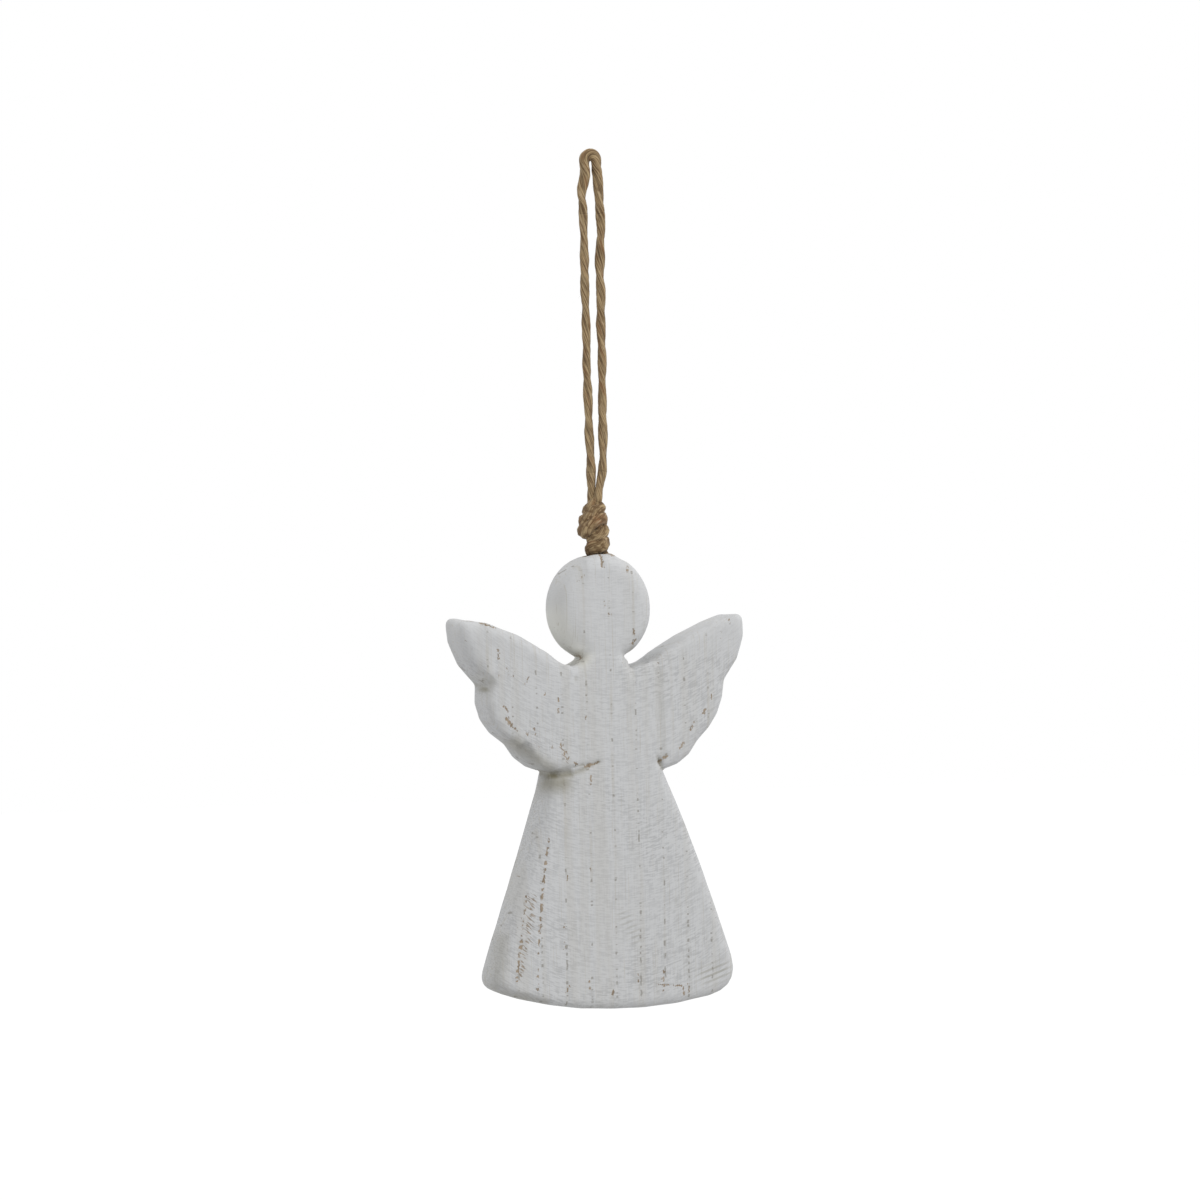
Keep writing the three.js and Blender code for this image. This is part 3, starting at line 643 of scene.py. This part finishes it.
        # Painted shade: the soil layer darkens the hollows below the neck, and adds the marks of shade and
        # grime listed above
        below_neck = np.maximum(0.15, ramp(z, NECK_LOW, NECK_LOW - 3))
        layers = [
            np.max(rubbed, axis=0), front * self.drawn(at, SCRATCHES), front * self.drawn(at, SCARS),
            np.maximum(0.6 * below_neck * self.hollows(skin), front * self.drawn(at, GRIME_AND_SHADE)),
            # Painted light on the sides of the head and neck that turn to the left
            self.drawn(at, PAINTED_LIGHT) * np.clip(1.8 * left, 0, 1),
        ]
        for name, values in zip(BOARD_MARKS, layers):
            layer = skin.verts.layers.float.new(name)
            for v, value in zip(skin.verts, values):
                v[layer] = value


# Routes of the twine in millimetres. The knot's core and turns are drawn tighter than the CAD's
BIGHT = [
    (-1.45, 0, -2.4), (-1.45, 0, -0.9), (-0.95, 0, 0.05), (0, 0, 0.45), (0.95, 0, 0.05), (1.45, 0, -0.9),
    (1.5, 0, -2.4),
]
LEFT_LEG = [
    (-1.35, 0, -4.6), (-2.25, 0.1, -9.0), (-1.97, 0.1, -12.5), (-1.93, 0, -15.7), (-1.87, -0.15, -22),
    (-1.95, 0.1, -40), (-1.75, 0.15, -55), (-1.6, 0.1, -67.1), (-1.45, 0, -76.9),
]
RIGHT_LEG = [
    (1.74, 0, -4.6), (1.99, -0.1, -9.0), (2.04, -0.1, -12.5), (2.25, 0, -18.9), (2.02, 0.1, -22),
    (1.85, -0.1, -40), (1.8, -0.15, -55), (1.7, -0.1, -67.1), (1.35, 0, -76.9),
]
LEFT_CROSSING = [(-1.35, 0.2, -79.5), (-1.25, 0.4, -82), (-1.15, 0.5, -84.3)]
RIGHT_CROSSING = [(0.75, -0.3, -79.5), (0.15, -0.8, -82), (-0.35, -1.2, -84.3)]
KNOT_CORE = [
    (-0.7, 0, -88), (-0.1, 0, -90.5), (-0.2, 0, -92.5), (-0.4, 0, -95), (-0.9, 0, -98), (-1.5, 0, -101),
    (-1.5, 0, -105.5),
]
TURN_TAIL = [(0.9, 0, -98.4), (0.5, 0, -101), (0.5, 0, -105.5)]
# Height, middle, half width, lean and arch of the knot's turns
KNOT_PROFILE = [
    (-85.3, -0.85, 1.1, 0.3, 0.6), (-87.0, -1.25, 1.75, 0.35, 1.0), (-88.6, -1.15, 2.45, 0.4, 1.3),
    (-90.2, -1.05, 2.65, 0.35, 1.2), (-91.6, -0.8, 2.3, 0.2, 0.5), (-92.8, -0.5, 1.8, -0.05, -0.2),
    (-94.3, -0.1, 1.85, -0.1, -0.6), (-95.8, -0.3, 1.7, 0.05, -0.5), (-96.6, -0.35, 1.45, 0.05, -0.3),
]
KNOT_TURNS = 4.76
KNOT_START = math.radians(275)
# Heights where the bight, the legs and the crossing end
SPLITS = -14.0, -76.9, -84.15
KNOT_SPLIT = SPLITS[-1]
# Seed of the lumps in the knot, which would differ from run to run without it
LUMP_SEED = 2
# How uneven the knot's turns are in width, lean and height
TURN_UNEVEN, TURN_LEAN, TURN_SLACK = 0.16, 0.35, 0.6
# How far the legs stray from hanging straight
CROOKED = 0.28
# A ply's radius as a share of the twine's diameter
PLY_RADIUS = 0.42
# How much thicker the twine is over the hook, above the knot, and as the knot's core, turns and tails
HOOK_FULL, ABOVE_FULL, CORE_FULL, TURN_FULL, TAIL_FULL = 0.4, 0.1, 0.8, 0.48, 0.3
# Heights where the core ends, where pressing ends, and where the tails thin out in the hole
CORE_END, PRESSED_END, TAIL_TOP, TAIL_THIN = -96.0, -96.5, -96.8, -98.4
# The knot's middle in x, and how much a strand is pressed flat and made taller there
KNOT_X, PRESSED_FLAT, PRESSED_TALL = -0.8, 0.2, 1.12
# The rusty stretch in the knot: x, z, half width and height, and strength
RUST_X, RUST_Z, RUST_WIDE, RUST_TALL, RUST_SHARE = 0.1, -88.8, 2.6, 1.3, 0.85
# Distance of a loose fibre's root from the twine's middle, and its radius
HAIR_ROOT, HAIR_RADIUS = 0.75, 0.03


def smooth_route(points, step=0.35):
    """A smooth line through the points, in millimetres, with points a step apart."""
    points = np.array(points, float)
    ends = [2 * points[0] - points[1], *points, 2 * points[-1] - points[-2]]
    line = []
    for a, b, c, d in zip(ends, ends[1:], ends[2:], ends[3:]):
        for t in np.linspace(0, 1, 24, endpoint=False):
            bend = (2 * a - 5 * b + 4 * c - d) * t**2 + (3 * b - a - 3 * c + d) * t**3
            line.append(0.5 * (2 * b + (c - a) * t + bend))
    line = np.array([*line, points[-1]])
    far = distances(line)
    even = np.linspace(0, far[-1], round(far[-1] / step) + 1)
    return np.stack([np.interp(even, far, line[:, k]) for k in range(3)], axis=1)


def distances(line):
    """How far along the line each of its points is."""
    return np.concatenate([[0], np.cumsum(np.linalg.norm(np.diff(line, axis=0), axis=1))])


def knot_turns():
    """The strand that winds round the other, from the top of the knot down."""
    heights, *shapes = np.array(KNOT_PROFILE).T
    turns = []
    for share in np.linspace(0, 1, round(KNOT_TURNS * 14)):
        z = heights[0] + (heights[-1] - heights[0]) * share
        middle, half, lean, arch = (np.interp(-z, -heights, values) for values in shapes)
        angle = KNOT_START - 2 * math.pi * KNOT_TURNS * share
        wide = half * (1 + TURN_UNEVEN * noise.noise((angle / 1.9, 4.2, 0.7)))
        lean += TURN_LEAN * noise.noise((angle / 4, 1.1, 2.3))
        slack = TURN_SLACK * noise.noise((angle / 2.4, 7.7, 5.1))
        x = wide * math.cos(angle)
        arched = arch * max(0, -math.sin(angle)) ** 2
        turns.append((middle + x, 0.9 * wide * math.sin(angle), z + lean * x + arched + slack))
    return turns


def carried_frames(line):
    """Two directions across the line at each point, carried along it without twist."""
    ahead = np.gradient(line, axis=0)
    ahead /= np.linalg.norm(ahead, axis=1)[:, None]
    side = np.cross(ahead[0], (0, 1, 0))
    sides = []
    for t in ahead:
        side = side - t * (side @ t)
        side = side / np.linalg.norm(side)
        sides.append(side)
    sides = np.array(sides)
    return sides, np.cross(ahead, sides)


class Twine:
    """The whole twine as one line with two plies, from which the pieces are cut."""

    def __init__(self, settings):
        down_left = LEFT_LEG + LEFT_CROSSING + KNOT_CORE
        down_right = RIGHT_LEG + RIGHT_CROSSING + knot_turns() + TURN_TAIL
        self.line = smooth_route(down_left[::-1] + BIGHT + down_right)
        self.let_hang()
        self.far = distances(self.line)
        self.sides, self.ups = carried_frames(self.line)
        self.top = int(self.line[:, 2].argmax())
        self.settings = settings
        self.diameter = settings.diameter / MM
        noise.seed_set(LUMP_SEED)

    def let_hang(self):
        """The legs hang a little crooked, as twine that was wound on a ball does."""
        for i, p in enumerate(self.line):
            hanging = ramp(p[2], -5, -10) * ramp(p[2], -79, -74)
            p[0] += CROOKED * hanging * noise.noise((i / 22, 1.3, 0.2))
            p[1] += CROOKED * hanging * noise.noise((i / 22, 6.1, 3.4))

    def index_at(self, height, side):
        """Where the line passes a height on its left or right half, next to the top."""
        half = self.line[: self.top + 1][::-1] if side == "left" else self.line[self.top :]
        steps = int(np.argmax(half[:, 2] < height))
        return self.top - steps if side == "left" else self.top + steps

    def fullness(self, i):
        """How thick the twine is at a point: full over the hook and in the knot, and uneven."""
        z = self.line[i, 2]
        turned = TURN_FULL + (TAIL_FULL - TURN_FULL) * ramp(z, TAIL_TOP, TAIL_THIN)
        in_knot = (CORE_FULL if i < self.top and z > CORE_END else turned) * self.knotted(i)
        full = 1 + HOOK_FULL * bell((z - 1) / 9) + ABOVE_FULL * bell((z + 83) / 4) + in_knot
        return full * (1 + 0.14 * noise.noise((self.far[i] / 6, 3.1, 0.4)))

    def knotted(self, i):
        """0 where the twine hangs free, 1 where it is pulled tight in the knot and its plies open up."""
        return float(ramp(self.line[i, 2], KNOT_SPLIT, KNOT_SPLIT - 2))

    def cut(self, name, stretches):
        """A mesh of both plies over stretches of the line, with its hairs."""
        piece = bmesh.new()
        lay = piece.loops.layers.uv.new("lay")
        marks = [piece.verts.layers.float.new(mark) for mark in TWINE_MARKS]
        for first, last in stretches:
            for ply in (0, 1):
                self.sweep_ply(piece, lay, marks, first, last, ply)
            self.add_hairs(piece, lay, first, last)
        bmesh.ops.recalc_face_normals(piece, faces=piece.faces)
        return finished(name, piece)

    def across(self, i, angle):
        return math.cos(angle) * self.sides[i] + math.sin(angle) * self.ups[i]

    def pressed(self, i, offset):
        """In the knot a strand lies flat against the one it winds round."""
        x, y, z = self.line[i]
        if not PRESSED_END < z < KNOT_SPLIT:
            return offset
        outward = np.array((x - KNOT_X, y, 0))
        outward /= max(np.linalg.norm(outward), 0.1)
        return offset * (1, 1, PRESSED_TALL) - PRESSED_FLAT * (offset @ outward) * outward

    def sweep_ply(self, piece, lay, marks, first, last, ply, sides=16):
        """One ply: rings of points round its own centre, joined along the line and capped."""
        rings = []
        for i in range(first, last + 1):
            turn = -2 * math.pi * self.far[i] * MM / self.settings.lay + math.pi * ply + 0.9
            turn += 0.5 * noise.noise((self.far[i] / 9, 8.2, 1.7))
            size = self.diameter * self.fullness(i)
            tight = self.knotted(i)
            centre = (0.12 - 0.03 * tight) * size * self.across(i, turn)
            ring = []
            for k in range(sides):
                angle = 2 * math.pi * k / sides
                cos, sin = math.cos(angle), math.sin(angle)
                round_ply = (2.6 * cos, 2.6 * sin, self.far[i] / 5 + 50 * ply)
                radius = PLY_RADIUS * size * (1 + (0.14 + 0.1 * tight) * noise.noise(round_ply))
                offset = self.pressed(i, centre + radius * self.across(i, turn + angle))
                spot = Vector(self.line[i] + offset)
                lumps = 0.4 * noise.noise_vector(spot / 2.2) + 0.15 * noise.noise_vector(spot / 0.8)
                v = piece.verts.new((spot + tight * lumps) * MM)
                rust = bell((spot.x - RUST_X) / RUST_WIDE, (spot.z - RUST_Z) / RUST_TALL)
                inner = (1 - 0.5 * tight) * ramp(cos, 0.3, -0.3)
                for mark, value in zip(marks, (inner, tight, RUST_SHARE * tight * rust)):
                    v[mark] = value
                ring.append(v)
            rings.append(ring)
        self.join(piece, lay, rings, self.far[first : last + 1], 5 * ply)

    def join(self, piece, lay, rings, far, aside):
        """Joins rings of points into a closed tube, with its length and girth laid out as UV."""
        sides = len(rings[0])
        for r, (low, high) in enumerate(zip(rings, rings[1:])):
            for k in range(sides):
                n = (k + 1) % sides
                face = piece.faces.new((low[k], low[n], high[n], high[k]))
                for loop, (a, b) in zip(face.loops, ((k, 0), (k + 1, 0), (k + 1, 1), (k, 1))):
                    girth = 2 * math.pi * PLY_RADIUS * self.diameter * a / sides
                    loop[lay].uv = mm(girth + aside, far[r + b])
        piece.faces.new(rings[0][::-1])
        piece.faces.new(rings[-1])

    def add_hairs(self, piece, lay, first, last):
        """Loose fibres that lift off the twine, each a thin three-sided tube."""
        chance = np.random.default_rng(first)
        for _ in range(round(self.settings.hairs * (self.far[last] - self.far[first]) / 10)):
            i = int(chance.integers(first + 2, last - 2))
            turn, length = chance.uniform(0, 2 * math.pi), chance.uniform(0.7, 2.2)
            lift, way = chance.uniform(0.15, 0.6), chance.choice((-1, 1))
            if self.line[i, 2] < CORE_END:
                continue
            out = self.across(i, turn)
            ahead = np.cross(self.sides[i], self.ups[i]) * way
            aside = np.cross(ahead, out)
            rings = []
            for share in (0, 0.35, 0.7, 1):
                middle = self.line[i] + HAIR_ROOT * out + length * (share * ahead + lift * share**1.6 * out)
                thin = HAIR_RADIUS * (1.15 - share)
                rings.append([
                    piece.verts.new((middle + thin * (math.cos(a) * out + math.sin(a) * aside)) * MM)
                    for a in (0, 2.1, 4.2)
                ])
            self.join(piece, lay, rings, self.far[i] + np.arange(4), turn)


class ORNAMENT_OT_twine_loop(bpy.types.Operator):
    """Lays the twine over the hook, down both legs, round the knot and into the hole"""

    bl_idname = "ornament.twine_loop"
    bl_label = "Twine loop and knot"

    def execute(self, context):
        settings = context.scene.ornament_twine
        twine = Twine(settings)
        jute = natural_jute(settings)
        top_left, cross_left, knot_left = (twine.index_at(height, "left") for height in SPLITS)
        top_right, cross_right, knot_right = (twine.index_at(height, "right") for height in SPLITS)
        runs = {
            "jute_bight": [(top_left, top_right)],
            "jute_leg_left": [(cross_left, top_left)],
            "jute_leg_right": [(top_right, cross_right)],
            "jute_crossing": [(knot_left, cross_left), (cross_right, knot_right)],
            "jute_knot": [(0, knot_left), (knot_right, len(twine.line) - 1)],
        }
        made = {name: twine.cut(name, stretches) for name, stretches in runs.items()}
        for piece in made.values():
            piece.data.materials.append(jute)
        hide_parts("twine_bight")
        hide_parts("twine_leg_left")
        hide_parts("twine_leg_right")
        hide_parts("twine_crossing_left", "twine_crossing_right")
        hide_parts("knot_core_strand", "knot_turns")
        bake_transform(made["jute_bight"])
        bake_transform(made["jute_leg_left"])
        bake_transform(made["jute_leg_right"])
        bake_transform(made["jute_crossing"])
        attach(made["jute_knot"], "figure")
        return {"FINISHED"}


class ORNAMENT_OT_glue(bpy.types.Operator):
    """Gives the glue in the hole its finish"""

    bl_idname = "ornament.glue"
    bl_label = "Glue in the hole"

    def execute(self, context):
        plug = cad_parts["glue_plug"]
        plug.data.materials.clear()
        plug.data.materials.append(set_wood_glue())
        return {"FINISHED"}


# Light from the left and from the right, the floor's half width in metres and its glow
SKY_LEFT, SKY_RIGHT, FLOOR_SIZE, FLOOR_GLOW = 0.78, 0.86, 6.0, 0.6
# The lamp's width in metres, power, place, and what it aims at
KEY_SIZE, KEY_POWER, KEY_PLACE, KEY_AIM = 0.8, 5.6, (0.75, -0.85, 0.7), mm(0, 0, -140)


class ORNAMENT_OT_stage(bpy.types.Operator):
    """Sets the camera, the floor and the soft light"""

    bl_idname = "ornament.stage"
    bl_label = "Stage"

    def execute(self, context):
        stage = context.scene.ornament_stage
        context.scene.camera = self.camera(stage)
        context.scene.world = self.sky()
        context.scene.view_settings.view_transform = "Standard"
        self.floor(stage)
        self.key()
        return {"FINISHED"}

    def camera(self, stage):
        back = Vector((math.sin(stage.azimuth), -math.cos(stage.azimuth), 0))
        right = Vector((math.cos(stage.azimuth), math.sin(stage.azimuth), 0))
        lens = bpy.data.cameras.new("camera")
        lens.lens = lens.sensor_width * stage.distance / stage.width
        lens.clip_start, lens.clip_end = 0.05, 20
        eye = placed("camera", lens)
        eye.location = Vector((0, 0, stage.middle)) + right * stage.aside + back * stage.distance
        eye.rotation_mode = "QUATERNION"
        eye.rotation_quaternion = (-back).to_track_quat("-Z", "Y") @ Quaternion((0, 0, 1), stage.roll)
        return eye

    def seen(self, tree):
        """1 where the camera, a reflection or glass looks at it, and 0 where it lights the ornament."""
        node = partial(add_node, tree)
        rays = node("LightPath").outputs
        mirrored = node("Math", LARGER, rays["Is Glossy Ray"], rays["Is Transmission Ray"])
        return node("Math", LARGER, rays["Is Camera Ray"], mirrored)

    def floor(self, stage):
        """A pale floor that keeps soft shadows, with a glow for the camera that makes it white."""
        plane = bmesh.new()
        lowered = Matrix.Translation((0, 0, stage.floor))
        bmesh.ops.create_grid(plane, x_segments=1, y_segments=1, size=FLOOR_SIZE, matrix=lowered)
        mesh = bpy.data.meshes.new("floor")
        plane.to_mesh(mesh)
        plane.free()
        material, tree = new_material("plain pale floor")
        matt = add_node(tree, "BsdfDiffuse", None, linear("C0C0C0"))
        glow = add_node(tree, "Math", TIMES, self.seen(tree), FLOOR_GLOW)
        white = add_node(tree, "Emission", None, (1, 1, 1, 1), glow)
        both = add_node(tree, "AddShader", None, matt, white)
        add_node(tree, "OutputMaterial", None, both)
        mesh.materials.append(material)
        placed("floor", mesh)

    def sky(self):
        """Soft light from all round, weaker from the left, and white to the camera."""
        world = bpy.data.worlds.new("studio")
        world.use_nodes = True
        tree = world.node_tree
        tree.nodes.clear()
        node = partial(add_node, tree)
        way = node("SeparateXYZ", None, node("TexCoord").outputs["Generated"])
        soft = node("MapRange", None, way.outputs["X"], -1.0, 1.0, SKY_LEFT, SKY_RIGHT)
        level = node("Mix", None, self.seen(tree), soft, 1.0)
        node("OutputWorld", None, node("Background", None, (1, 1, 1, 1), level))
        return world

    def key(self):
        """A large lamp in front, above and to the right."""
        lamp = bpy.data.lights.new("key", "AREA")
        lamp.size, lamp.energy = KEY_SIZE, KEY_POWER
        made = placed("key", lamp)
        made.location = KEY_PLACE
        made.rotation_mode = "QUATERNION"
        made.rotation_quaternion = (Vector(KEY_AIM) - made.location).to_track_quat("-Z", "Y")


class ORNAMENT_PT_panel(bpy.types.Panel):
    """Lists the ornament's settings and pieces"""

    bl_idname = "ORNAMENT_PT_panel"
    bl_label = "Hanging angel"
    bl_space_type = "VIEW_3D"
    bl_region_type = "UI"
    bl_category = "Ornament"

    def draw(self, context):
        for operator in OPERATORS:
            self.layout.operator(operator.bl_idname)
        for name, group in SETTINGS.items():
            for key in group.__annotations__:
                self.layout.prop(getattr(context.scene, name), key)


OPERATORS = (ORNAMENT_OT_stage, ORNAMENT_OT_twine_loop, ORNAMENT_OT_wooden_angel, ORNAMENT_OT_glue)
SETTINGS = {"ornament_wood": WoodSettings, "ornament_twine": TwineSettings, "ornament_stage": StageSettings}


def register():
    for cls in (*SETTINGS.values(), *OPERATORS, ORNAMENT_PT_panel):
        bpy.utils.register_class(cls)
    for name, group in SETTINGS.items():
        setattr(bpy.types.Scene, name, PointerProperty(type=group))


def unregister():
    for name in SETTINGS:
        delattr(bpy.types.Scene, name)
    for cls in (ORNAMENT_PT_panel, *reversed(OPERATORS), *SETTINGS.values()):
        bpy.utils.unregister_class(cls)


def main():
    register()
    bpy.ops.ornament.stage()
    bpy.ops.ornament.twine_loop()
    bpy.ops.ornament.wooden_angel()
    bpy.ops.ornament.glue()
    bpy.context.view_layer.update()


if __name__ == "__main__":
    main()
